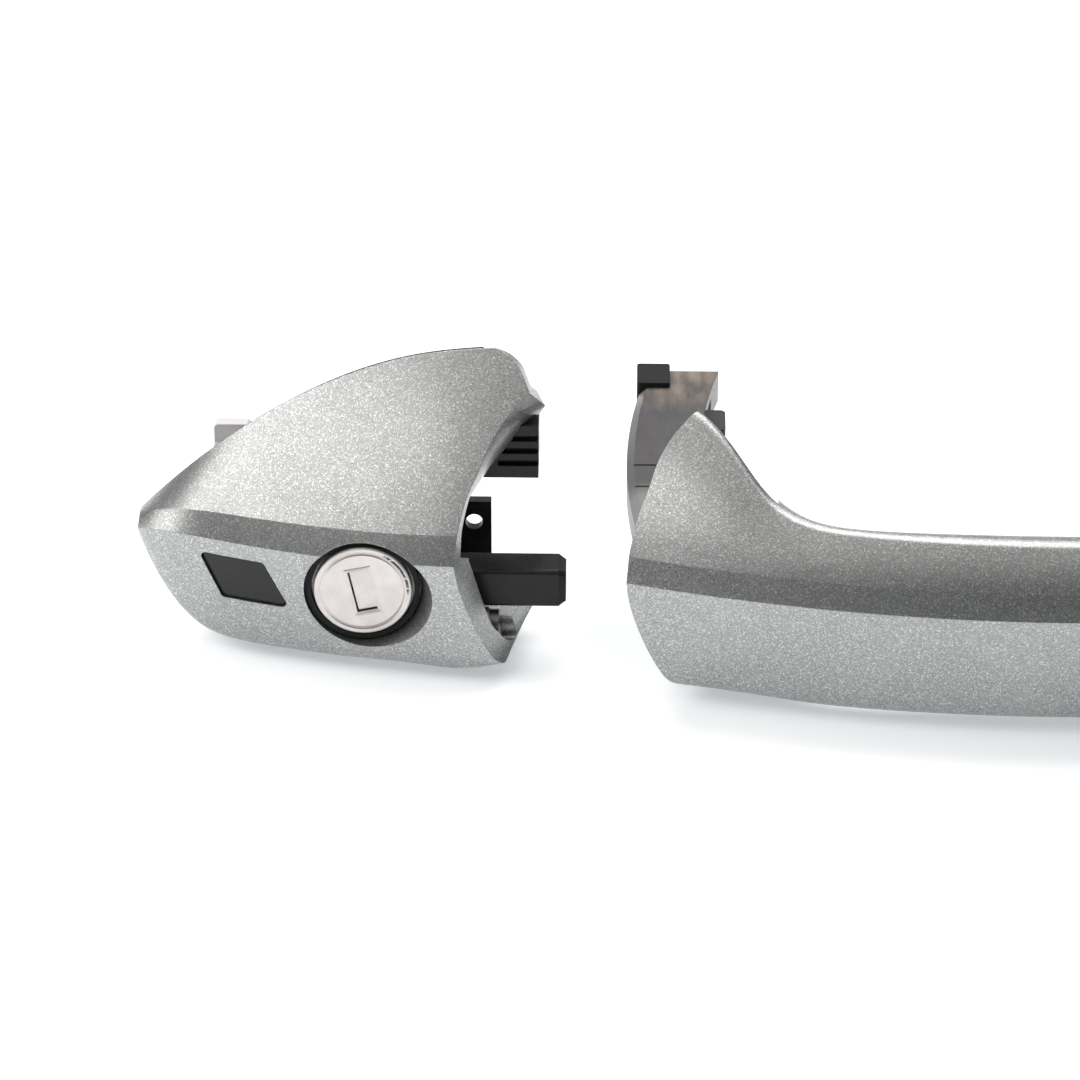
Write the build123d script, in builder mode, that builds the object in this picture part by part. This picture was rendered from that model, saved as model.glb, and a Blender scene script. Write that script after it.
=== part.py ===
"""Exterior car door handle: a lock end cap with its key cylinder, and a strap grip with its pull arm.

Frame: X runs along the car, Z is up, and the door skin is the plane Y = 0 with outside towards -Y.
The origin is on the key cylinder's axis, at the door skin. The grip lies pulled away from the cap,
ready to be fitted: it goes home along a slanted line, `apart` sideways and `proud` towards the door.
Lengths are in millimetres.
"""
import math
import os

from build123d import *

# ---------------------------------------------------------------- driving dimensions
apart = 28.6            # how far the grip is laid from its fitted place, along X
proud = 4.5             # how far it is laid outward of its fitted place
parting_gap = 1.0       # gap between cap and grip when fitted
wall = 2.2              # moulded wall of the painted shells
rim_y = -1.0            # inner rim of the cap, standing on its gasket
crease_z = 7.6          # height of the crease that runs along the whole handle
cap_bottom = -14.0

disc_r = 8.5            # visible face of the key cylinder
disc_y = -18.5
slot_w, slot_h, slot_turn = 3.6, 8.0, 12.0
plug_r = 6.0
housing_r = 7.8
housing_back = 18.0
tail_r = 4.0
tail_end = 27.0

arm_top, arm_bottom = 14.0, 8.0
arm_reach = 37.4        # how far the pull arm reaches behind the door skin
pivot_x, pivot_y = 207.0, 5.0
pivot_r = 2.0
arm_inner_r, arm_outer_r = 149.0, 161.8

os.makedirs("parts", exist_ok=True)


def save(name, label):
    """Label the finished piece and write it as parts/<label>.step."""
    name.part.label = label
    export_step(name.part, f"parts/{label}.step")


def mix(a, b, t):
    """Point at the share t of the way from a to b."""
    return (a[0] + (b[0] - a[0]) * t, a[1] + (b[1] - a[1]) * t)


def outward(a, b, crown):
    """Control point beside the middle of the chord a-b, crown times its length outwards."""
    return ((a[0] + b[0]) / 2 - crown * (b[1] - a[1]), (a[1] + b[1]) / 2 + crown * (b[0] - a[0]))


# ---------------------------------------------------------------- painted outer forms
grip_apex = 121.0       # middle of the grip's arch
grip_end = 207.0
crest_y = -40.2         # crease at the top of the arch
cap_crown, grip_crown = 0.045, 0.085    # how far the sloping tops bow out, as a share of their width
form_back = rim_y + 6   # the cap's forms run on into the door, and the shell is cut off at its rim
cap_stations = (-39.4, -37.4, -34, -29, -22, -13, -3, 8, 19, 34)
grip_stations = (43, 50, 57, 63, 69, 76, 85, 97, 110, 124, 140, 156, 170, 182, 192, 200, grip_end)


def fade(x, middle, width):
    """Smooth step from 1 well left of the middle to 0 well right of it."""
    return 1 / (1 + math.exp((x - middle) / width))


def cap_row(x):
    """Section values of the cap at x."""
    tip = max(0.0, (-20 - x) / 19.4)               # 0 along the body, 1 at the left tip
    nose = max(0.0, (-23.4 - x) / 16) ** 2
    return {
        "x": x,
        "crease": (-23.6 + 0.0037 * (24 - x) ** 2, crease_z - 1.0 * tip ** 4),
        "band": (1.9 + 2.6 * nose, 4.2 - 3.6 * nose),
        "top": 38.2 - 0.0084 * (22 - x) ** 2,
        "low": (-21.3 + 0.0037 * (24 - x) ** 2 - 1.4 * fade(-x, -16, 5), cap_bottom + 18 * tip ** 3),
        "corner": 0.17 - 0.1 * nose,
    }


def grip_row(x):
    """Section values of the grip at x; far is 0 up to the arch's middle and 1 at the front end."""
    far = max(0.0, (x - grip_apex) / (grip_end - grip_apex))
    crease_y = crest_y + 0.0021 * (x - grip_apex) ** 2 + 12.3 * far ** 6
    depth = 7.4 - 3.8 * far ** 4 + 12.6 * fade(x, 65, 3.6)
    z_c = crease_z - 2.4 * far ** 6
    return {
        "x": x,
        "crease": (crease_y, z_c),
        "band": min(1.0, depth / 7.4),
        "top": (crease_y + depth, z_c + 4.4 + 1.2 * (depth - 1.9)),
        "back": -25.6 + 19.2 * fade(x, 69.5, 4.2) + 18.9 * fade(-x, -183, 4.6),
        "low": (crease_y + 3.0 - 1.6 * fade(x, 50, 4) - 1.6 * far ** 4, -13.9 + 7.0 * far ** 6),
    }


def cap_section(x, row, inset, back):
    """Closed outline of the cap across X: flat bottom, front face, crease, band, sloping top."""
    low = (row["low"][0] + inset, row["low"][1] + inset)
    crease = (row["crease"][0] + inset, row["crease"][1] - 0.3 * inset)
    shoulder = (row["crease"][0] + row["band"][0] + 0.8 * inset,
                row["crease"][1] + row["band"][1] - 0.7 * inset)
    start = mix(shoulder, (rim_y, row["top"] - 1.5 * inset), 0.02)
    at_rim = (rim_y, row["top"] - 1.5 * inset)
    bulge = outward(start, at_rim, cap_crown)
    slope = (at_rim[1] - bulge[1]) / (at_rim[0] - bulge[0])
    top = (back, at_rim[1] + slope * (back - rim_y))
    r = row["corner"]
    with BuildSketch(Plane.YZ.offset(x)) as section:
        with BuildLine():
            Line((back, low[1]), (low[0] + 14 * r, low[1]))
            Bezier((low[0] + 14 * r, low[1]), low, mix(low, crease, r))
            Line(mix(low, crease, r), crease)
            Bezier(crease, mix(crease, shoulder, 0.5), start)
            Bezier(start, bulge, at_rim)
            Line(at_rim, top)
            Line(top, (back, low[1]))
        make_face()
    return section.sketch


def grip_section(x, row, inset):
    """Closed outline of the grip across X, rounded over the top into the finger side."""
    low = (row["low"][0] + inset, row["low"][1] + inset)
    heel = (row["back"] - inset, row["low"][1] + inset)
    crease = (row["crease"][0] + inset, row["crease"][1] - 0.3 * inset)
    shoulder = (row["crease"][0] + 1.9 * row["band"] + 0.8 * inset,
                row["crease"][1] + 4.2 * row["band"] - 0.7 * inset)
    # the crown keeps to the sloping top and stays a little outward of the finger side
    crown_y = min(row["top"][0] - 0.2 * inset, row["back"] - inset - 1.0)
    slid = row["top"][0] - 0.2 * inset - crown_y
    crown = (crown_y, row["top"][1] - 1.3 * inset - 1.2 * slid)
    over = (row["back"] - inset, crown[1] - 0.5)
    brow = mix(crown, shoulder, 0.12)
    with BuildSketch(Plane.YZ.offset(x)) as section:
        with BuildLine():
            Line(mix(heel, low, 0.3), mix(low, heel, 0.3))
            Bezier(mix(low, heel, 0.3), low, mix(low, crease, 0.16))
            Line(mix(low, crease, 0.16), crease)
            Bezier(crease, mix(crease, shoulder, 0.5), shoulder)
            Bezier(shoulder, outward(shoulder, brow, grip_crown), brow)
            Bezier(brow, crown, mix(crown, over, 0.3))
            Bezier(mix(crown, over, 0.3), over, mix(over, heel, 0.3))
            Line(mix(over, heel, 0.3), mix(heel, over, 0.12))
            Bezier(mix(heel, over, 0.12), heel, mix(heel, low, 0.3))
        make_face()
    return section.sketch


# parting surface, top to bottom: Z, then X and Y of its edge on the outer face, then its slope dX/dY
parting = [(36.0, 33.5, -3.6, 0.95), (33.0, 29.2, -6.0, 0.92), (29.2, 24.5, -9.3, 0.88),
           (26.5, 22.4, -11.4, 0.80), (22.0, 20.0, -14.9, 0.52), (16.5, 17.4, -18.8, 0.28),
           (12.0, 16.3, -21.4, 0.30), (7.8, 15.9, -23.3, 0.42), (4.0, 16.4, -23.2, 0.52),
           (0.0, 17.5, -23.1, 0.50), (-6.0, 19.9, -22.9, 0.36), (-11.0, 22.8, -22.8, 0.28),
           (-14.0, 26.1, -22.5, 0.26), (-20.0, 32.5, -22.5, 0.26)]


def smooth_run(pts):
    """Smooth curve through the points, as one Bezier between each two of them."""
    last = len(pts) - 1
    for i in range(last):
        before, after = pts[max(i - 1, 0)], pts[min(i + 2, last)]
        start, end = pts[i], pts[i + 1]
        lead_out = tuple(start[k] + (end[k] - before[k]) / 6 for k in (0, 1))
        lead_in = tuple(end[k] - (after[k] - start[k]) / 6 for k in (0, 1))
        Bezier(start, lead_out, lead_in, end)


def c_region(side, dx, dy, z_top):
    """Everything on one side (1 right, -1 left) of the C-shaped parting surface, up to z_top."""
    far = dx + side * 120
    with BuildPart() as region:
        for y in (8, -45):
            pts = [(x + slope * (y - edge_y) + dx, z) for z, x, edge_y, slope in parting]
            with BuildSketch(Plane.XZ.offset(-y - dy)):
                with BuildLine():
                    smooth_run(pts)
                    Polyline(pts[-1], (far, pts[-1][1]), (far, z_top), (pts[0][0], z_top), pts[0])
                make_face()
        loft(ruled=True)
    return region.part


def cap_form(inset, stations, back):
    """Outer form of the cap, or the same form moved inwards by inset."""
    with BuildPart() as form:
        for x in stations:
            add(cap_section(x, cap_row(x), inset, back))
        loft()
    return form.part


def grip_form(inset, stations):
    """Outer form of the grip, or the same form moved inwards by inset."""
    with BuildPart() as form:
        for x in stations:
            add(grip_section(x, grip_row(x), inset))
        loft()
    return form.part


hollow_stations = (-33.5,) + cap_stations[3:]
cap_outside = cap_form(0, cap_stations, form_back)
cap_hollow = cap_form(wall, hollow_stations, form_back)
grip_outside = grip_form(0, grip_stations)
grip_hollow = grip_form(wall, grip_stations[:-1])
beyond_cap = c_region(1, 0, 0, 60)
before_grip = c_region(-1, apart + parting_gap, -proud, 60)


def rod(plane, r, length):
    """Round bar that starts on the plane and runs along its normal."""
    with BuildPart(mode=Mode.PRIVATE) as bar:
        with BuildSketch(plane):
            Circle(r)
        extrude(amount=length)
    return bar.part


def block(x, y, z):
    """Rectangular bar between pairs of limits."""
    size = (x[1] - x[0], y[1] - y[0], z[1] - z[0])
    middle = ((x[0] + x[1]) / 2, (y[0] + y[1]) / 2, (z[0] + z[1]) / 2)
    return Pos(*middle) * Box(*size, mode=Mode.PRIVATE)


def screw(plane, r, length, head_r, head_h):
    """Pan-head screw: the plane lies under the head and faces the driver; cross recess on top."""
    back = Plane(origin=plane.origin, x_dir=plane.x_dir, z_dir=-plane.z_dir)
    body = rod(back, r, length) + rod(plane, head_r, head_h)
    for turn in (0, 90):
        bit = plane * Rot(0, 0, turn) * Pos(0, 0, head_h) * Box(head_r * 1.2, head_r * 0.28, head_h,
                                                         mode=Mode.PRIVATE)
        body -= bit
    return body


# ================================================================ cap body
window_corners = [(-28.4, 4.4), (-17.3, 4.4), (-13.0, -4.1), (-24.6, -4.1)]
seat_y = -16.4          # where the cylinder housing's flange stands
flange_r = 9.3
boss_end = -14.2
carrier_spots = [(-15.0, 13.0), (5.4, 22.4)]
pilot_r = 1.45
peg_y, peg_z = (-14.0, -7.0), (-5.6, 1.6)
lip_reach, lip_depth = 2.6, 5.0
lip_gap = (6.6, 17.0)   # the lip leaves these heights free for the pull arm
gasket_set_back = 0.9
horn_round_x = 20.5     # where the upper horn starts to round off, and the gasket ends
side_y, side_z = -13.6, -8.9


def window_prism(grow):
    with BuildPart() as prism:
        with BuildSketch(Plane.XZ):
            with BuildLine():
                Polyline(*window_corners, close=True)
            make_face()
            offset(amount=grow, kind=Kind.INTERSECTION)
            fillet(vertices(), 0.9)
        extrude(amount=40)
    return prism.part


with BuildPart() as cap_shell:
    add(cap_outside)
    add(cap_hollow, mode=Mode.SUBTRACT)
    # boss around the key cylinder, and two screw posts for the carrier, kept inside the outer form
    with BuildPart(mode=Mode.PRIVATE) as bosses:
        with BuildSketch(Plane.XZ.offset(-boss_end)):
            Circle(11.8)
        extrude(amount=20)
        with BuildSketch(Plane.XZ.offset(4.3)):
            with Locations(*carrier_spots):
                Circle(3.2)
        extrude(amount=30)
        with BuildSketch(Plane.YZ.offset(11.0)):
            with Locations((side_y, side_z)):
                Circle(3.0)
        extrude(amount=10.6)
        add(cap_outside, mode=Mode.INTERSECT)
    add(bosses.part)
    # thick lip along the mouth: a band behind the front face, and a solid one under the upper horn
    with BuildPart(mode=Mode.PRIVATE) as lip:
        add(cap_outside)
        add(c_region(1, -lip_reach, 0, 60), mode=Mode.INTERSECT)
        add(block((0, 50), (-45, rim_y), lip_gap), mode=Mode.SUBTRACT)
        with BuildPart(mode=Mode.PRIVATE) as behind_front:
            add(cap_form(lip_depth, hollow_stations, form_back))
            add(block((-50, 50), (-45, 20), (-40, lip_gap[0])), mode=Mode.INTERSECT)
        add(behind_front.part, mode=Mode.SUBTRACT)
        add(block((20.0, 50), (-5.2, 10), (10, 25.6)), mode=Mode.SUBTRACT)
        add(rod(Plane(origin=(21.6, side_y, side_z), z_dir=(1, 0, 0)), 3.1, 30), mode=Mode.SUBTRACT)
    add(lip.part)
    add(block((-50, 50), (rim_y, form_back + 1), (-30, 60)), mode=Mode.SUBTRACT)
    # C-shaped mouth and the slanted end of the upper horn
    add(beyond_cap, mode=Mode.SUBTRACT)
    with BuildSketch(Plane.XZ.offset(-2)):
        with BuildLine():
            slant = Line((32.2, 24.9), (27.7, 34.0))
            round_off = Bezier(slant @ 1, (25.6, 38.3), (horn_round_x, 38.6))
            Polyline(round_off @ 1, (horn_round_x, 60), (60, 60), (60, 24.9), slant @ 0)
        make_face()
    extrude(amount=50, mode=Mode.SUBTRACT)
    # key pocket, flared to the right, with the bore for the cylinder housing
    with BuildSketch(Plane.XZ.offset(-seat_y)):
        Circle(10.0)
    with BuildSketch(Plane.XZ.offset(23.5)):
        with Locations((0.9, 0)):
            Ellipse(11.6, 10.8)
    loft(mode=Mode.SUBTRACT)
    with BuildSketch(Plane.XZ):
        Circle(flange_r + 0.2)
    extrude(amount=-seat_y + 0.2, mode=Mode.SUBTRACT)
    # receiver window and screw pilots
    add(window_prism(0.15), mode=Mode.SUBTRACT)
    with BuildSketch(Plane.XZ.offset(4.3)):
        with Locations(*carrier_spots):
            Circle(pilot_r)
    extrude(amount=4.6, mode=Mode.SUBTRACT)
    with BuildSketch(Plane.YZ.offset(11.0)):
        with Locations((side_y, side_z)):
            Circle(1.6)
    extrude(amount=10.6, mode=Mode.SUBTRACT)
save(cap_shell, "cap_shell")

with BuildPart() as cap_gasket:
    add(cap_form(gasket_set_back, cap_stations[1:], form_back))
    add(cap_form(wall, hollow_stations, form_back), mode=Mode.SUBTRACT)
    add(beyond_cap, mode=Mode.SUBTRACT)
    add(block((-50, horn_round_x), (rim_y, 0), (-30, 60)), mode=Mode.INTERSECT)
save(cap_gasket, "cap_gasket")

carrier_front, carrier_back = -4.2, -1.4
tube_r = 10.6
with BuildPart() as lock_carrier:
    add(cap_form(wall + 0.25, hollow_stations, form_back))
    add(block((-31, 13.5), (carrier_front, carrier_back), (-20, 40)), mode=Mode.INTERSECT)
    with BuildSketch(Plane.XZ.offset(12.0)):
        Circle(tube_r)
    extrude(amount=-18)
    # tongue beside the cylinder, with its small hole
    add(block((8, 21.6), (2.0, 4.0), (-5.0, 6.4)))
    with BuildSketch(Plane.XZ.offset(-5.0)):
        with Locations((18.6, 2.4)):
            Circle(1.5)
    extrude(amount=4, mode=Mode.SUBTRACT)
    # upper guide block on its bracket, ribbed along X on the front
    add(block((8, 21.0), (1.2, 5.6), (15.0, 20.6)))
    add(block((10, 13.5), (-4.2, 1.3), (15.0, 20.6)))
    add(block((20.4, 30.0), (-4.8, 5.6), (15.0, 25.2)))
    for z in (17.3, 19.7, 22.1):
        add(block((23.0, 31.0), (-5.8, -3.7), (z, z + 1.1)), mode=Mode.SUBTRACT)
    # bore for the cylinder housing, clearance for the side screw and for the carrier screws
    with BuildSketch(Plane.XZ.offset(-20)):
        Circle(housing_r + 0.1)
    extrude(amount=40, mode=Mode.SUBTRACT)
    with BuildSketch(Plane.XZ.offset(-2)):
        with Locations(*carrier_spots):
            Circle(1.7)
    extrude(amount=8, mode=Mode.SUBTRACT)
save(lock_carrier, "lock_carrier")

with BuildPart() as retaining_peg:
    add(block((10.0, 33.6), peg_y, peg_z))
    fillet(retaining_peg.edges().filter_by(Axis.X), 0.8)
    # slightly domed free end
    with BuildSketch(Plane.YZ.offset(33.6)):
        with Locations(((peg_y[0] + peg_y[1]) / 2, (peg_z[0] + peg_z[1]) / 2)):
            RectangleRounded(7.0, 7.2, 0.8)
    with BuildSketch(Plane.YZ.offset(34.9)):
        with Locations(((peg_y[0] + peg_y[1]) / 2, (peg_z[0] + peg_z[1]) / 2)):
            RectangleRounded(5.6, 5.8, 0.8)
    loft()
    add(rod(Plane.XZ.offset(-10), tube_r + 0.02, 40), mode=Mode.SUBTRACT)
save(retaining_peg, "retaining_peg")

with BuildPart() as rear_hook:
    add(block((-27.2, -20.8), (-1.4, 12.0), (11.6, 13.8)))
    add(block((-27.2, -20.8), (9.6, 12.0), (13.8, 17.2)))
    fillet(rear_hook.edges().filter_by(Axis.Y).sort_by(Axis.Z)[-2:], 0.8)
save(rear_hook, "rear_hook")

with BuildPart() as cylinder_housing:
    with BuildSketch(Plane.XZ.offset(-housing_back)):
        Circle(housing_r)
    extrude(amount=housing_back - seat_y)
    with BuildSketch(Plane.XZ.offset(-seat_y)):
        Circle(flange_r)
    extrude(amount=-2.0)
    add(block((-20.0, -5.0), (8.6, 17.4), (-4.4, 4.4)))
    fillet(cylinder_housing.edges().filter_by(Axis.X).sort_by(Axis.X)[:4], 1.2)
    with BuildSketch(Plane.XZ.offset(-30)):
        Circle(plug_r + 0.1)
    extrude(amount=60, mode=Mode.SUBTRACT)
    with BuildSketch(Plane.YZ.offset(-21)):
        with Locations((13.0, 0)):
            Circle(3.6)
    extrude(amount=11, mode=Mode.SUBTRACT)
save(cylinder_housing, "cylinder_housing")

with BuildPart() as clamp_insert:
    with BuildSketch(Plane.YZ.offset(-20)):
        with Locations((13.0, 0)):
            Circle(3.6)
            Circle(2.5, mode=Mode.SUBTRACT)
    extrude(amount=10)
save(clamp_insert, "clamp_insert")

with BuildPart() as pocket_seal:
    with BuildSketch(Plane.XZ.offset(-seat_y)):
        Circle(9.9)
        Circle(8.9, mode=Mode.SUBTRACT)
    extrude(amount=1.3)
save(pocket_seal, "pocket_seal")

with BuildPart() as receiver_window:
    add(window_prism(0))
    add(cap_form(0.5, cap_stations[2:], form_back), mode=Mode.INTERSECT)
    add(cap_form(wall - 0.1, cap_stations[2:], form_back), mode=Mode.SUBTRACT)
save(receiver_window, "receiver_window")

with BuildPart() as receiver_board:
    add(block((-24.5, -13.6), (-7.4, -6.2), (-3.6, 4.0)))
    with BuildSketch(Plane.XZ.offset(7.4)):
        with Locations((-17.0, 0.2)):
            Rectangle(4.4, 4.0)
    extrude(amount=2.4)
    with BuildSketch(Plane.XZ.offset(9.8)):
        with Locations((-17.0, 0.2)):
            Circle(1.4)
    extrude(amount=1.2, taper=20)
    with BuildSketch(Plane.XZ.offset(6.2)):
        with GridLocations(7, 5, 2, 2):
            with Locations((-19.0, 0.2)):
                Circle(0.7)
    extrude(amount=-2.0)
save(receiver_board, "receiver_board")

with BuildPart() as carrier_screws:
    for x, z in carrier_spots:
        place = Plane(origin=(x, carrier_back, z), x_dir=(1, 0, 0), z_dir=(0, 1, 0))
        add(screw(place, pilot_r, 7.0, 2.7, 1.9))
save(carrier_screws, "carrier_screws")

with BuildPart() as side_screw:
    place = Plane(origin=(21.6, side_y, side_z), x_dir=(0, 1, 0), z_dir=(1, 0, 0))
    add(screw(place, 1.6, 9.6, 2.5, 1.7))
save(side_screw, "side_screw")

with BuildPart() as return_spring:
    with BuildLine():
        coil = Helix(pitch=1.25, height=3.6, radius=5.6, center=(0, 18.9, 0), direction=(0, 1, 0))
    with BuildSketch(Plane(origin=coil @ 0, z_dir=coil % 0)):
        Circle(0.42)
    sweep(path=coil)
save(return_spring, "return_spring")

# ================================================================ key plug body
slot_plane = Plane(origin=(0, 0, 0), x_dir=Vector(1, 0, 0).rotate(Axis.Y, -slot_turn), z_dir=(0, -1, 0))
plug_front = -17.1
shutter_u, shutter_y = 1.75, -17.5     # hinge line of the shutter, beside the slot


def slot_box(u, y, v):
    """Block between limits across the slot (u), in depth (y) and along the slot (v)."""
    return slot_plane * block(u, v, (-y[1], -y[0]))


with BuildPart() as face_disc:
    with BuildSketch(Plane.XZ.offset(-plug_front)):
        Circle(disc_r)
    extrude(amount=plug_front - disc_y)
    fillet(face_disc.edges().sort_by(Axis.Y)[0], 0.35)
    add(slot_box((-slot_w / 2, slot_w / 2), (-20, -15), (-slot_h / 2, slot_h / 2)), mode=Mode.SUBTRACT)
    add(slot_box((-2.0, 2.5), (-18.06, -15), (-4.3, 4.3)), mode=Mode.SUBTRACT)
    add(slot_box((1.37, 2.13), (-17.88, -15), (-5.0, 5.0)), mode=Mode.SUBTRACT)
save(face_disc, "face_disc")

wafer_first, wafer_pitch, wafer_count = -9.6, 3.3, 7
with BuildPart() as plug_core:
    with BuildSketch(Plane.XZ.offset(-18.3)):
        Circle(plug_r)
    extrude(amount=18.3 - plug_front)
    with BuildSketch(Plane.XZ.offset(-tail_end)):
        Circle(tail_r)
    extrude(amount=tail_end - 18.3)
    add(slot_box((-2.2, 2.5), (-18, -13.0), (-4.4, 4.4)), mode=Mode.SUBTRACT)
    add(slot_box((-1.2, 1.2), (-14, 14.0), (-3.8, 3.8)), mode=Mode.SUBTRACT)
    for i in range(wafer_count):
        y = wafer_first + i * wafer_pitch
        add(slot_box((-2.05, 2.05), (y - 0.05, y + 0.85), (-7, 7)), mode=Mode.SUBTRACT)
    with BuildSketch(Plane.XZ.offset(-26.3)):
        Circle(tail_r)
        Circle(3.3, mode=Mode.SUBTRACT)
    extrude(amount=0.8, mode=Mode.SUBTRACT)
save(plug_core, "plug_core")

with BuildPart() as wafers:
    for i in range(wafer_count):
        y = wafer_first + i * wafer_pitch
        plate = slot_box((-2.0, 2.0), (y, y + 0.8), (-5.6, 5.6))
        add(plate - slot_box((-1.3, 1.3), (y - 1, y + 2), (-3.9, 3.5 - 0.4 * (i % 3))))
save(wafers, "wafers")

driver_y = (23.2, 25.4)
crank = 13.0
with BuildPart() as tail_driver:
    with BuildSketch(Plane.XZ.offset(-driver_y[0])):
        Circle(6.4)
        with Locations((0, -crank / 2)):
            Rectangle(6.0, crank)
        with Locations((0, -crank)):
            Circle(3.0)
        Circle(tail_r, mode=Mode.SUBTRACT)
    extrude(amount=driver_y[0] - driver_y[1])
    with BuildSketch(Plane.XZ.offset(-driver_y[1])):
        with Locations((0, -crank)):
            Circle(2.0)
    extrude(amount=-6.0)
save(tail_driver, "tail_driver")

with BuildPart() as tail_clip:
    with BuildSketch(Plane.XZ.offset(-26.2)):
        Circle(6.0)
        Circle(3.35, mode=Mode.SUBTRACT)
        with Locations((0, 5)):
            Rectangle(4.2, 10, mode=Mode.SUBTRACT)
    extrude(amount=0.7)
save(tail_clip, "tail_clip")

with BuildPart() as key_shutter:
    add(slot_box((-1.6, shutter_u), (shutter_y - 0.45, shutter_y + 0.1), (-3.8, 3.8)))
    for reach, r in ((3.8, 0.45), (4.8, 0.3)):
        axle = Plane(origin=slot_plane.from_local_coords((shutter_u, -reach, -shutter_y)),
                     z_dir=slot_plane.y_dir)
        add(rod(axle, r, 2 * reach))
save(key_shutter, "key_shutter")

# ================================================================ grip body
mouth = ((30, 71), (-24, 10), (-11.4, 40))
back_screws = [(96.0, -24.7), (121.0, -25.6), (146.0, -24.6)]    # X, and Y of the shell's face there
back_screw_z = 5.0


def in_front(shift):
    """Everything outward of the grip's parting line, which follows its top edge."""
    with BuildPart() as front:
        with BuildSketch(Plane.XY.offset(-40)):
            with BuildLine():
                line = Spline(*[(x, grip_row(x)["top"][0] + 1.6 + shift) for x in grip_stations])
                Polyline(line @ 1, (grip_end, -80), (grip_stations[0], -80), line @ 0)
            make_face()
        extrude(amount=100)
    return front.part


with BuildPart() as grip_cover:
    add(grip_outside)
    add(grip_hollow, mode=Mode.SUBTRACT)
    add(before_grip, mode=Mode.SUBTRACT)
    add(in_front(0), mode=Mode.INTERSECT)
    add(block((30, 62), (-9.5, 10), (-11.0, 26)), mode=Mode.SUBTRACT)
save(grip_cover, "grip_cover")

with BuildPart() as grip_back_shell:
    add(grip_outside)
    add(grip_hollow, mode=Mode.SUBTRACT)
    add(before_grip, mode=Mode.SUBTRACT)
    add(in_front(0.05), mode=Mode.SUBTRACT)
    add(block(*mouth), mode=Mode.SUBTRACT)
    # way out for the pivot arm
    add(block((178.6, 201.0), (-22, 0), (-5.4, 5.4)), mode=Mode.SUBTRACT)
    for x, y in back_screws:
        place = Plane(origin=(x, y - 1.2, back_screw_z), z_dir=(0, 1, 0))
        add(rod(place, 2.7, 6), mode=Mode.SUBTRACT)
        add(rod(place.offset(-3), 1.4, 6), mode=Mode.SUBTRACT)
save(grip_back_shell, "grip_back_shell")


core_inset = wall + 0.3
arm_screw = (69.6, -24.2)
pivot_screw = (177.0, -26.8)
rib_first, rib_pitch, rib_count = 72.0, 13.5, 8

with BuildPart() as grip_core:
    add(block((66.5, 192), (-45, 0), (-1.6, 1.6)))
    add(block((88, 170), (-45, -33.4), (-20, 40)))
    add(block((166, 190), (-45, 0), (5.05, 8.0)))
    for i in range(rib_count):
        x = rib_first + i * rib_pitch
        add(block((x, x + 2.4), (-45, 0), (-20, 40)))
    for x, y in back_screws:
        add(rod(Plane(origin=(x, y - 1, back_screw_z), z_dir=(0, -1, 0)), 3.2, 12))
    add(rod(Plane(origin=(*arm_screw, -1)), 3.2, arm_bottom + 1))
    add(grip_form(core_inset, grip_stations[:-1]), mode=Mode.INTERSECT)
    # seats for the root of the pull arm and of the pivot arm, then the screw pilots
    add(block((60, 86.2), (-45, 0), (arm_bottom, arm_top)), mode=Mode.SUBTRACT)
    add(block((60, 86.2), (-45, 0), (arm_top, 40)), mode=Mode.SUBTRACT)
    add(block((170.8, 200), (-45, 0), (-5.05, 5.05)), mode=Mode.SUBTRACT)
    for x, y in back_screws:
        add(rod(Plane(origin=(x, y, back_screw_z), z_dir=(0, -1, 0)), 1.3, 9.0), mode=Mode.SUBTRACT)
    for x, y in (arm_screw, pivot_screw):
        add(rod(Plane(origin=(x, y, -1)), 1.3, 12), mode=Mode.SUBTRACT)
save(grip_core, "grip_core")

with BuildPart() as pull_arm:
    with BuildSketch(Plane.XY.offset(arm_bottom)):
        with Locations((pivot_x, pivot_y)):
            Circle(arm_outer_r)
            Circle(arm_inner_r, mode=Mode.SUBTRACT)
        with Locations((54, (arm_reach - 21.4) / 2)):
            Rectangle(20, arm_reach + 21.4, mode=Mode.INTERSECT)
    extrude(amount=arm_top - arm_bottom)
    outer_edge = pull_arm.edges().filter_by(GeomType.CIRCLE).group_by(Axis.Z)[-1].sort_by(Axis.X)[0]
    chamfer(outer_edge, 1.4)
    # root bar reaching into the grip
    with BuildSketch(Plane.XY.offset(arm_bottom)):
        with BuildLine():
            Polyline((49, -21.4), (58, -24.4), (66, -26.4), (79, -29.0), (79, -27.4),
                     (75, -26.0), (71.5, -23.2), (70.5, -19.5), (64, -12), (59.2, -9.6),
                     (49, -9.6), close=True)
        make_face()
    extrude(amount=arm_top - arm_bottom)
    # grip of the door lever, cut in from below and from the side
    add(block((53.5, 70), (24.2, 30.4), (arm_bottom - 1, arm_bottom + 4.2)), mode=Mode.SUBTRACT)
    # two shallow witness grooves across the top where the arm meets the door skin
    for y in (-5.9, 1.8):
        add(block((46.5, 70), (y, y + 0.5), (arm_top - 0.35, arm_top + 1)), mode=Mode.SUBTRACT)
    add(rod(Plane(origin=(*arm_screw, 0)), 1.4, 20), mode=Mode.SUBTRACT)
    add(rod(Plane(origin=(*arm_screw, arm_top - 1.7)), 2.35, 20), mode=Mode.SUBTRACT)
save(pull_arm, "pull_arm")

with BuildPart() as arm_buffer:
    add(block((46.9, 52.8), (30.8, 38.3), (arm_bottom - 0.8, arm_top + 1.0)))
    fillet(arm_buffer.edges().filter_by(Axis.Z), 0.6)
    add(pull_arm.part, mode=Mode.SUBTRACT)
save(arm_buffer, "arm_buffer")

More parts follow.
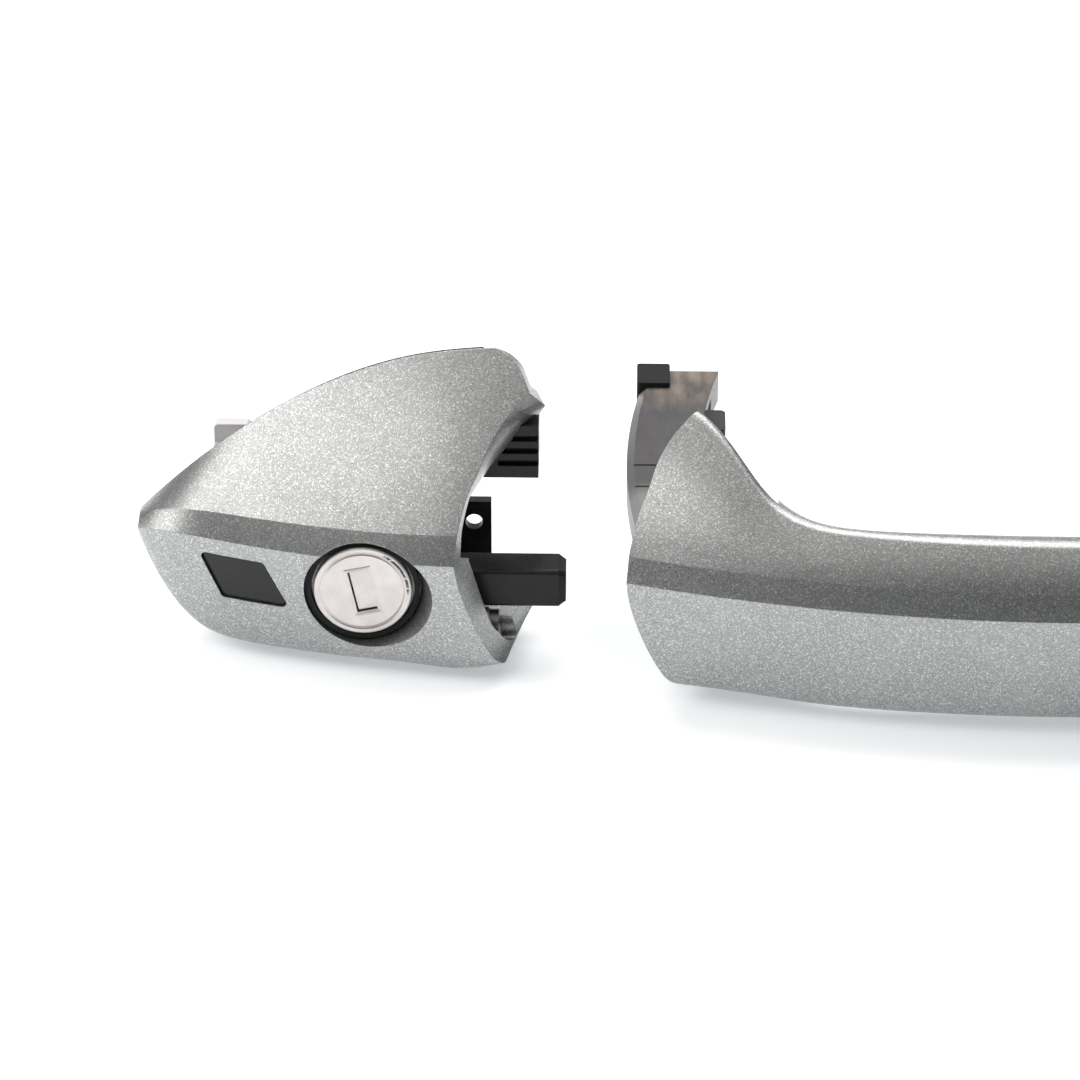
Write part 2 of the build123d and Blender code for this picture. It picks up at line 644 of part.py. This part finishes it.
with BuildPart() as arm_stop:
    add(block((57.0, 62.6), (15.2, 22.6), (9.4, 14.0)))
    fillet(arm_stop.edges().filter_by(Axis.Z).sort_by(Axis.X)[-2:], 1.0)
    add(pull_arm.part, mode=Mode.SUBTRACT)
save(arm_stop, "arm_stop")

with BuildPart() as pivot_arm:
    with BuildSketch(Plane.XY.offset(-5)):
        with BuildLine():
            Polyline((172, -29.9), (184, -25.6), (191.5, -19.4), (196, -12), (200.5, -1), (208, 0.5),
                     (205.5, 9.2), (198, 6), (190, -4), (185, -13), (179, -23.2), (172, -27.2),
                     close=True)
        make_face()
        with Locations((pivot_x, pivot_y)):
            Circle(4.6)
            Circle(pivot_r + 0.1, mode=Mode.SUBTRACT)
    extrude(amount=10)
    add(rod(Plane(origin=(*pivot_screw, -2)), 1.3, 12), mode=Mode.SUBTRACT)
save(pivot_arm, "pivot_arm")

with BuildPart() as arm_screws:
    add(screw(Plane(origin=(*arm_screw, arm_top - 1.7)), 1.3, 11.0, 2.2, 1.5))
    add(screw(Plane(origin=(*pivot_screw, 8.0)), 1.3, 9.0, 2.0, 1.5))
save(arm_screws, "arm_screws")

with BuildPart() as back_shell_screws:
    for x, y in back_screws:
        place = Plane(origin=(x, y - 1.2, back_screw_z), x_dir=(1, 0, 0), z_dir=(0, 1, 0))
        add(screw(place, 1.3, 7.6, 2.5, 1.2))
save(back_shell_screws, "back_shell_screws")

# ================================================================ front base body
skin_y = -proud         # the door skin as it stands from the laid-out grip
with BuildPart() as front_gasket:
    with BuildSketch(Plane.XZ.offset(-skin_y)):
        with BuildLine():
            Polyline((180, -10.8), (193, -9.8), (203, -7.4), (205.6, -3), (205.6, 5), (203.5, 10),
                     (194, 13.6), (180, 15.2), close=True)
        make_face()
        fillet(vertices(), 2.0)
        with Locations((193.0, 0)):
            Rectangle(18.0, 11.2, mode=Mode.SUBTRACT)
    extrude(amount=1.2)
save(front_gasket, "front_gasket")

with BuildPart() as pivot_shoe:
    add(block((182.4, 204.2), (skin_y, skin_y + 1.8), (-6.8, 6.8)))
    add(block((184.0, 214.8), (skin_y + 1.8, pivot_y + 6), (-9.2, 9.2)))
    add(block((184.4, 202.4), (skin_y - 1, skin_y + 3), (-5.5, 5.5)), mode=Mode.SUBTRACT)
    add(block((180.0, 212.6), (skin_y + 1.8, pivot_y + 7), (-5.5, 5.5)), mode=Mode.SUBTRACT)
    fillet(pivot_shoe.edges().filter_by(Axis.Z).group_by(Axis.X)[-1], 2.0)
    add(rod(Plane(origin=(pivot_x, pivot_y, -20)), pivot_r, 40), mode=Mode.SUBTRACT)
save(pivot_shoe, "pivot_shoe")

with BuildPart() as pivot_pin:
    add(rod(Plane(origin=(pivot_x, pivot_y, -10.6)), pivot_r, 19.8))
    add(rod(Plane(origin=(pivot_x, pivot_y, 9.2)), 3.2, 1.2))
    chamfer(pivot_pin.edges().sort_by(Axis.Z)[0], 0.4)
save(pivot_pin, "pivot_pin")

with BuildPart() as pin_clip:
    with BuildSketch(Plane(origin=(pivot_x, pivot_y, -10.0))):
        Circle(3.6)
        Circle(pivot_r, mode=Mode.SUBTRACT)
        with Locations((0, 4)):
            Rectangle(2.6, 8, mode=Mode.SUBTRACT)
    extrude(amount=0.8)
save(pin_clip, "pin_clip")
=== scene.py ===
import bpy
import math
from mathutils import Matrix, Vector


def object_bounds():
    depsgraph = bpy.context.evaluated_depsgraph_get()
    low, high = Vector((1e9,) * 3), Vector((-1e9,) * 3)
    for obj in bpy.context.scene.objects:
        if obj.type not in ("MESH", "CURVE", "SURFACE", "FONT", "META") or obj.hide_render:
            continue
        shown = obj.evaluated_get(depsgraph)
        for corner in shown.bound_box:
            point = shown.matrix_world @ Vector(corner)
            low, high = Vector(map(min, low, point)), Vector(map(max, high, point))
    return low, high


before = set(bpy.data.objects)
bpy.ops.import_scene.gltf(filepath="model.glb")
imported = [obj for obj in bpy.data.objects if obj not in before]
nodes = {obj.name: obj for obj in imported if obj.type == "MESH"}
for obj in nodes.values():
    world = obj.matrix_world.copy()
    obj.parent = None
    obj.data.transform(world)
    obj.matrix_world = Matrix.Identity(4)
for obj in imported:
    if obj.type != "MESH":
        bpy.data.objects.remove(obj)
cad_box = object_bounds()
mm = 0.001
scene = bpy.context.scene

# ------------------------------------------------------------------ camera
# The lock face is taken as 17 mm across and the distance as 0.9 m; its ellipse then gives the direction.
azimuth, elevation, distance = math.radians(1.1), math.radians(29.5), 0.9
back = Vector((math.sin(azimuth) * math.cos(elevation), -math.cos(azimuth) * math.cos(elevation),
               math.sin(elevation)))
right = Vector((math.cos(azimuth), math.sin(azimuth), 0))
target = Vector((30.419, -13.589, 7.646)) * mm
camera = bpy.data.objects.new("camera", bpy.data.cameras.new("camera"))
scene.collection.objects.link(camera)
camera.data.sensor_width = 36.0
camera.data.lens = 174.3
camera.data.clip_start, camera.data.clip_end = 0.05, 50.0
turn = Matrix((right, back.cross(right), back)).transposed()
camera.matrix_world = Matrix.Translation(target + back * distance) @ turn.to_4x4()
scene.camera = camera
scene.view_settings.view_transform = "Standard"


# ------------------------------------------------------------------ node helpers
class Maker:
    """Builds one material's nodes. Every texture runs in the object's own metres."""

    def __init__(self, name):
        self.mat = bpy.data.materials.new(name)
        self.mat.use_nodes = True
        self.tree = self.mat.node_tree
        self.shader = self.tree.nodes["Principled BSDF"]
        self.place = self.tree.nodes.new("ShaderNodeTexCoord").outputs["Object"]

    def node(self, kind, **settings):
        made = self.tree.nodes.new(kind)
        for key, value in settings.items():
            setattr(made, key, value)
        return made

    def feed(self, socket, value):
        if hasattr(value, "is_output"):
            self.tree.links.new(value, socket)
        else:
            socket.default_value = value

    def set(self, **values):
        for key, value in values.items():
            socket = self.shader.inputs[key.replace("_", " ").title().replace("Ior", "IOR")]
            self.feed(socket, value)

    def math(self, operation, a, b=0.0, c=0.0):
        made = self.node("ShaderNodeMath", operation=operation)
        for socket, value in zip(made.inputs, (a, b, c)):
            self.feed(socket, value)
        return made.outputs[0]

    def split(self, vector=None):
        made = self.node("ShaderNodeSeparateXYZ")
        self.feed(made.inputs[0], vector or self.place)
        return made.outputs

    def stretched(self, x, y, z):
        made = self.node("ShaderNodeMapping")
        self.feed(made.inputs["Vector"], self.place)
        made.inputs["Scale"].default_value = (x, y, z)
        return made.outputs[0]

    def noise(self, size, detail=2.0, roughness=0.5, vector=None):
        """Noise whose features are about size metres across."""
        made = self.node("ShaderNodeTexNoise")
        self.feed(made.inputs["Vector"], vector or self.place)
        made.inputs["Scale"].default_value = 1 / size
        made.inputs["Detail"].default_value = detail
        made.inputs["Roughness"].default_value = roughness
        return made.outputs["Fac"]

    def cells(self, size, feature="F1"):
        made = self.node("ShaderNodeTexVoronoi", feature=feature)
        self.feed(made.inputs["Vector"], self.place)
        made.inputs["Scale"].default_value = 1 / size
        return made

    def span(self, value, low, high, to_low=0.0, to_high=1.0):
        made = self.node("ShaderNodeMapRange")
        made.clamp = True
        for socket, v in zip(made.inputs, (value, low, high, to_low, to_high)):
            self.feed(socket, v)
        return made.outputs[0]

    def ramp(self, value, *stops):
        made = self.node("ShaderNodeValToRGB")
        self.feed(made.inputs[0], value)
        points = made.color_ramp.elements
        while len(points) < len(stops):
            points.new(0.5)
        for point, (at, colour) in zip(points, stops):
            point.position = at
            point.color = (*colour, 1)
        return made.outputs[0]

    def blend(self, share, a, b, mode="MIX"):
        made = self.node("ShaderNodeMix", data_type="RGBA", blend_type=mode)
        self.feed(made.inputs[0], share)
        self.feed(made.inputs[6], a if hasattr(a, "is_output") else (*a, 1))
        self.feed(made.inputs[7], b if hasattr(b, "is_output") else (*b, 1))
        return made.outputs[2]

    def bump(self, height, depth, strength=1.0, under=None):
        """Relief of the given depth in metres."""
        made = self.node("ShaderNodeBump")
        made.inputs["Strength"].default_value = strength
        made.inputs["Distance"].default_value = depth
        self.feed(made.inputs["Height"], height)
        if under is not None:
            self.feed(made.inputs["Normal"], under)
        return made.outputs[0]

    def soft_edges(self, radius):
        made = self.node("ShaderNodeBevel", samples=4)
        made.inputs["Radius"].default_value = radius
        return made.outputs[0]


def give(material, *names):
    for name in names:
        slots = nodes[name].data.materials
        slots.clear()
        slots.append(material)


# ------------------------------------------------------------------ metallic lacquer
def lacquer():
    m = Maker("lacquer")
    flake = m.cells(0.00017)
    shine = m.split(flake.outputs["Color"])
    fine = m.noise(0.0001, 1.0)
    cloud = m.noise(0.012, 2.0)
    body = m.ramp(shine[0], (0.0, (0.21, 0.217, 0.215)), (0.3, (0.30, 0.308, 0.308)),
                  (0.8, (0.365, 0.373, 0.37)), (1.0, (0.74, 0.74, 0.72)))
    body = m.blend(m.span(fine, 0.3, 0.7, 0.0, 0.40), body, (0.23, 0.24, 0.243))
    body = m.blend(m.span(cloud, 0.3, 0.7, 0.0, 0.12), body, (0.55, 0.55, 0.54))
    soft = m.soft_edges(0.00022)
    tilt = m.bump(shine[1], 0.000018, 0.55, soft)
    m.set(base_color=body, metallic=0.92, roughness=m.span(shine[2], 0, 1, 0.30, 0.42),
          normal=m.bump(fine, 0.00001, 0.4, tilt), coat_weight=0.30, coat_roughness=0.22, coat_ior=1.45)
    return m.mat


give(lacquer(), "cap_shell", "grip_cover", "grip_back_shell")


# ------------------------------------------------------------------ moulded plastics and rubber
def plastic(name, dark, light, low, high, grain=0.00035):
    m = Maker(name)
    flow = m.noise(0.006, 3.0, vector=m.stretched(1, 0.35, 1))
    fine = m.noise(grain, 2.0)
    body = m.blend(m.span(flow, 0.3, 0.7), dark, light)
    specks = m.span(m.noise(0.0009, 1.0), 0.68, 0.78, 0.0, 0.25)
    body = m.blend(specks, body, tuple(v * 2.2 for v in light))
    m.set(base_color=body, roughness=m.span(m.math("ADD", fine, flow), 0.7, 1.3, low, high),
          specular_ior_level=0.22, normal=m.bump(fine, 0.00004, 0.35, m.soft_edges(0.00018)))
    return m.mat


give(plastic("black_moulding", (0.008, 0.0075, 0.008), (0.020, 0.018, 0.018), 0.26, 0.42),
     "lock_carrier", "retaining_peg", "pivot_shoe")
give(plastic("dark_stop", (0.020, 0.020, 0.022), (0.04, 0.04, 0.042), 0.35, 0.5), "arm_stop")
give(plastic("grey_core", (0.09, 0.088, 0.095), (0.14, 0.137, 0.145), 0.40, 0.55),
     "grip_core", "pivot_arm")
give(plastic("pale_moulding", (0.50, 0.48, 0.49), (0.62, 0.60, 0.61), 0.35, 0.5), "rear_hook")
give(plastic("rubber", (0.010, 0.010, 0.010), (0.020, 0.020, 0.021), 0.62, 0.8, 0.0002),
     "cap_gasket", "front_gasket", "arm_buffer", "pocket_seal")


def arm_plastic():
    """Mid-grey moulding with a satin skin; the brown streaks towards its tip are a painted warm reflection.
    """
    m = Maker("arm_plastic")
    y = m.split()[1]
    flow = m.noise(0.0045, 4.0, 0.6, m.stretched(1.6, 0.5, 1))
    fine = m.noise(0.0003, 2.0)
    grey = m.blend(m.span(flow, 0.3, 0.7), (0.045, 0.042, 0.046), (0.075, 0.070, 0.076))
    # painted reflection: a warm brown tint blended in towards the tip, broken into streaks by the flow
    # noise
    near_tip = m.span(m.math("ADD", y, m.math("MULTIPLY", flow, 0.010)), 0.026, 0.040)
    painted_brown_reflection = m.blend(m.span(flow, 0.35, 0.65), (0.11, 0.085, 0.068), (0.30, 0.25, 0.205))
    body = m.blend(m.math("MULTIPLY", near_tip, 0.85), grey, painted_brown_reflection)
    root = m.span(y, -0.004, -0.009, 0.0, 0.6)
    body = m.blend(root, body, (0.30, 0.29, 0.28))
    m.set(base_color=body, roughness=m.span(fine, 0.3, 0.7, 0.30, 0.44), specular_ior_level=0.5,
          normal=m.bump(fine, 0.00003, 0.3, m.soft_edges(0.00025)))
    return m.mat


give(arm_plastic(), "pull_arm")


# ------------------------------------------------------------------ metals
def metal(name, dark, light, low, high, grain=0.0003, depth=0.00002, stretch=(1, 1, 1)):
    m = Maker(name)
    fine = m.noise(grain, 3.0, 0.6, m.stretched(*stretch))
    stain = m.noise(0.004, 3.0)
    body = m.blend(m.span(stain, 0.3, 0.7), dark, light)
    m.set(base_color=body, metallic=1.0, roughness=m.span(m.math("ADD", fine, stain), 0.7, 1.3, low, high),
          normal=m.bump(fine, depth, 0.5, m.soft_edges(0.00012)))
    return m.mat


give(metal("cast_zinc", (0.36, 0.36, 0.365), (0.50, 0.50, 0.50), 0.42, 0.6, 0.0005, 0.00004),
     "cylinder_housing", "plug_core")
give(metal("plated_steel", (0.46, 0.46, 0.47), (0.60, 0.60, 0.60), 0.22, 0.38),
     "tail_driver", "tail_clip", "pivot_pin", "pin_clip", "return_spring")
give(metal("dark_screw", (0.12, 0.12, 0.125), (0.20, 0.20, 0.20), 0.30, 0.45),
     "side_screw", "carrier_screws", "arm_screws", "back_shell_screws")
give(metal("brass", (0.58, 0.42, 0.18), (0.74, 0.56, 0.28), 0.25, 0.40), "clamp_insert", "wafers")

slot_turn = math.radians(12)
cos_turn, sin_turn = math.cos(slot_turn), math.sin(slot_turn)


def lock_face():
    """Satin steel cap with a pressed ring, a raised slot surround, fine wiping scratches and a worn arc."""
    m = Maker("lock_face")
    x, _, z = m.split()
    radius = m.math("SQRT", m.math("ADD", m.math("MULTIPLY", x, x), m.math("MULTIPLY", z, z)))
    angle = m.math("ARCTAN2", z, x)
    across = m.math("SUBTRACT", m.math("MULTIPLY", x, cos_turn), m.math("MULTIPLY", z, -sin_turn))
    along = m.math("SUBTRACT", m.math("MULTIPLY", z, cos_turn), m.math("MULTIPLY", x, sin_turn))
    ring = m.math("ABSOLUTE", m.math("SUBTRACT", radius, 0.0073))
    groove = m.span(ring, 0.0, 0.00032, 1.0, 0.0)
    beside = m.math("SUBTRACT", m.math("ABSOLUTE", across), 0.0018)
    above = m.math("SUBTRACT", m.math("ABSOLUTE", along), 0.0040)
    off_slot = m.math("MAXIMUM", beside, above)
    frame_line = m.span(m.math("ABSOLUTE", m.math("SUBTRACT", off_slot, 0.0004)), 0.0, 0.00028, 1.0, 0.0)
    scratch = m.noise(0.0012, 6.0, 0.7, m.stretched(0.25, 1, 2.2))
    stain = m.noise(0.0032, 3.0)
    body = m.blend(m.span(stain, 0.3, 0.7), (0.52, 0.487, 0.473), (0.60, 0.565, 0.55))
    body = m.blend(m.span(scratch, 0.60, 0.72, 0.0, 0.30), body, (0.52, 0.48, 0.46))
    # worn arc at the upper right of the rim, broken up by noise
    chip = m.noise(0.0007, 3.0, 0.7)
    near_angle = m.span(m.math("ABSOLUTE", m.math("SUBTRACT", angle, 0.52)), 0.50, 0.62, 1.0, 0.0)
    off_rim = m.math("ABSOLUTE", m.math("SUBTRACT", radius, 0.0078))
    in_arc = m.math("MULTIPLY", near_angle, m.span(off_rim, 0.00012, 0.00030, 1.0, 0.0))
    worn = m.math("MULTIPLY", in_arc, m.span(chip, 0.38, 0.44, 0.0, 1.0))
    body = m.blend(worn, body, (0.012, 0.010, 0.010))
    relief = m.math("SUBTRACT", m.math("MULTIPLY", frame_line, 0.7), groove)
    pressed = m.bump(relief, 0.00016, 0.8, m.soft_edges(0.0002))
    m.set(base_color=body, metallic=m.span(worn, 0, 1, 0.95, 0.0),
          roughness=m.span(scratch, 0.3, 0.7, 0.30, 0.42),
          normal=m.bump(scratch, 0.00001, 0.35, pressed))
    return m.mat


give(lock_face(), "face_disc", "key_shutter")


def dark_window():
    """Black gloss window with the odd scuff."""
    m = Maker("dark_window")
    scuff = m.noise(0.0028, 5.0, 0.65, m.stretched(1.0, 1.0, 3.0))
    mark = m.span(scuff, 0.66, 0.72, 0.0, 0.35)
    body = m.blend(mark, (0.012, 0.012, 0.013), (0.06, 0.06, 0.062))
    m.set(base_color=body, roughness=m.span(scuff, 0.3, 0.7, 0.10, 0.24), specular_ior_level=0.3,
          normal=m.bump(scuff, 0.00001, 0.2, m.soft_edges(0.0002)))
    return m.mat


give(dark_window(), "receiver_window")


def board():
    m = Maker("board")
    y = m.split()[1]
    cell = m.cells(0.0016, "DISTANCE_TO_EDGE")
    track = m.span(cell.outputs["Distance"], 0.00010, 0.00016, 1.0, 0.0)
    fine = m.noise(0.0004, 2.0)
    body = m.blend(track, (0.012, 0.085, 0.032), (0.03, 0.17, 0.07))
    dark = m.span(y, -0.00745, -0.0076, 0.0, 1.0)
    body = m.blend(dark, body, (0.02, 0.02, 0.02))
    m.set(base_color=body, roughness=m.span(fine, 0.3, 0.7, 0.28, 0.45), normal=m.bump(track, 0.00003, 0.6))
    return m.mat


give(board(), "receiver_board")


# ------------------------------------------------------------------ floor, world and lights
def floor_sheet():
    low = cad_box[0].z - 0.0006
    mesh = bpy.data.meshes.new("floor")
    half, rise = 6.0, 3.0
    middle = (cad_box[0] + cad_box[1]) / 2
    steps = [(-half, 0), (half * 0.7, 0)]
    for i in range(1, 13):
        a = math.radians(90 * i / 12)
        steps.append((half * 0.7 + rise * math.sin(a), rise * (1 - math.cos(a))))
    verts, faces = [], []
    for along, up in steps:
        for side in (-half, half):
            verts.append((middle.x + side, middle.y + along, low + up))
    for i in range(len(steps) - 1):
        faces.append((2 * i, 2 * i + 1, 2 * i + 3, 2 * i + 2))
    mesh.from_pydata(verts, [], faces)
    sheet = bpy.data.objects.new("floor", mesh)
    scene.collection.objects.link(sheet)
    m = Maker("floor_paper")
    tone = m.span(m.noise(0.4, 2.0), 0.3, 0.7)
    m.set(base_color=m.blend(tone, (0.86, 0.865, 0.875), (0.885, 0.89, 0.90)), roughness=0.9,
          specular_ior_level=0.1, emission_color=(0.93, 0.965, 1.0, 1), emission_strength=0.36)
    mesh.materials.append(m.mat)


floor_sheet()

world = bpy.data.worlds.new("studio")
scene.world = world
world.use_nodes = True
tree = world.node_tree
sky = tree.nodes["Background"]
coords = tree.nodes.new("ShaderNodeTexCoord")
parts = tree.nodes.new("ShaderNodeSeparateXYZ")
tree.links.new(coords.outputs["Generated"], parts.inputs[0])
ramp = tree.nodes.new("ShaderNodeValToRGB")
tree.links.new(parts.outputs["Z"], ramp.inputs[0])
stops = ramp.color_ramp.elements
stops[0].position, stops[0].color = 0.38, (0.03, 0.031, 0.033, 1)
stops[1].position, stops[1].color = 0.90, (0.85, 0.845, 0.82, 1)
middle_stop = stops.new(0.62)
middle_stop.color = (0.22, 0.224, 0.216, 1)
tree.links.new(ramp.outputs[0], sky.inputs["Color"])
sky.inputs["Strength"].default_value = 1.0
pale = tree.nodes.new("ShaderNodeBackground")
pale.inputs["Color"].default_value = (0.93, 0.93, 0.93, 1)
chooser = tree.nodes.new("ShaderNodeMixShader")
path = tree.nodes.new("ShaderNodeLightPath")
tree.links.new(path.outputs["Is Camera Ray"], chooser.inputs[0])
tree.links.new(sky.outputs[0], chooser.inputs[1])
tree.links.new(pale.outputs[0], chooser.inputs[2])
tree.links.new(chooser.outputs[0], tree.nodes["World Output"].inputs["Surface"])


def softbox(name, at, aim, width, height, power, colour=(1, 1, 1)):
    data = bpy.data.lights.new(name, "AREA")
    data.shape, data.size, data.size_y = "RECTANGLE", width, height
    data.energy, data.color = power, colour
    lamp = bpy.data.objects.new(name, data)
    scene.collection.objects.link(lamp)
    lamp.location = at
    lamp.visible_camera = False
    lamp.rotation_euler = (Vector(aim) - Vector(at)).to_track_quat("-Z", "Y").to_euler()


softbox("key", (-0.115, -0.15, 0.19), (-0.02, -0.02, 0.02), 0.19, 0.11, 0.18, (1.0, 0.99, 0.965))
softbox("overhead", (0.1, 0.55, 1.0), (0.08, 0, 0), 1.3, 0.9, 13.0, (1.0, 0.995, 0.98))
softbox("left", (-0.70, 0.02, 0.52), (-0.03, -0.01, 0.02), 0.6, 0.5, 3.0, (1.0, 0.99, 0.97))
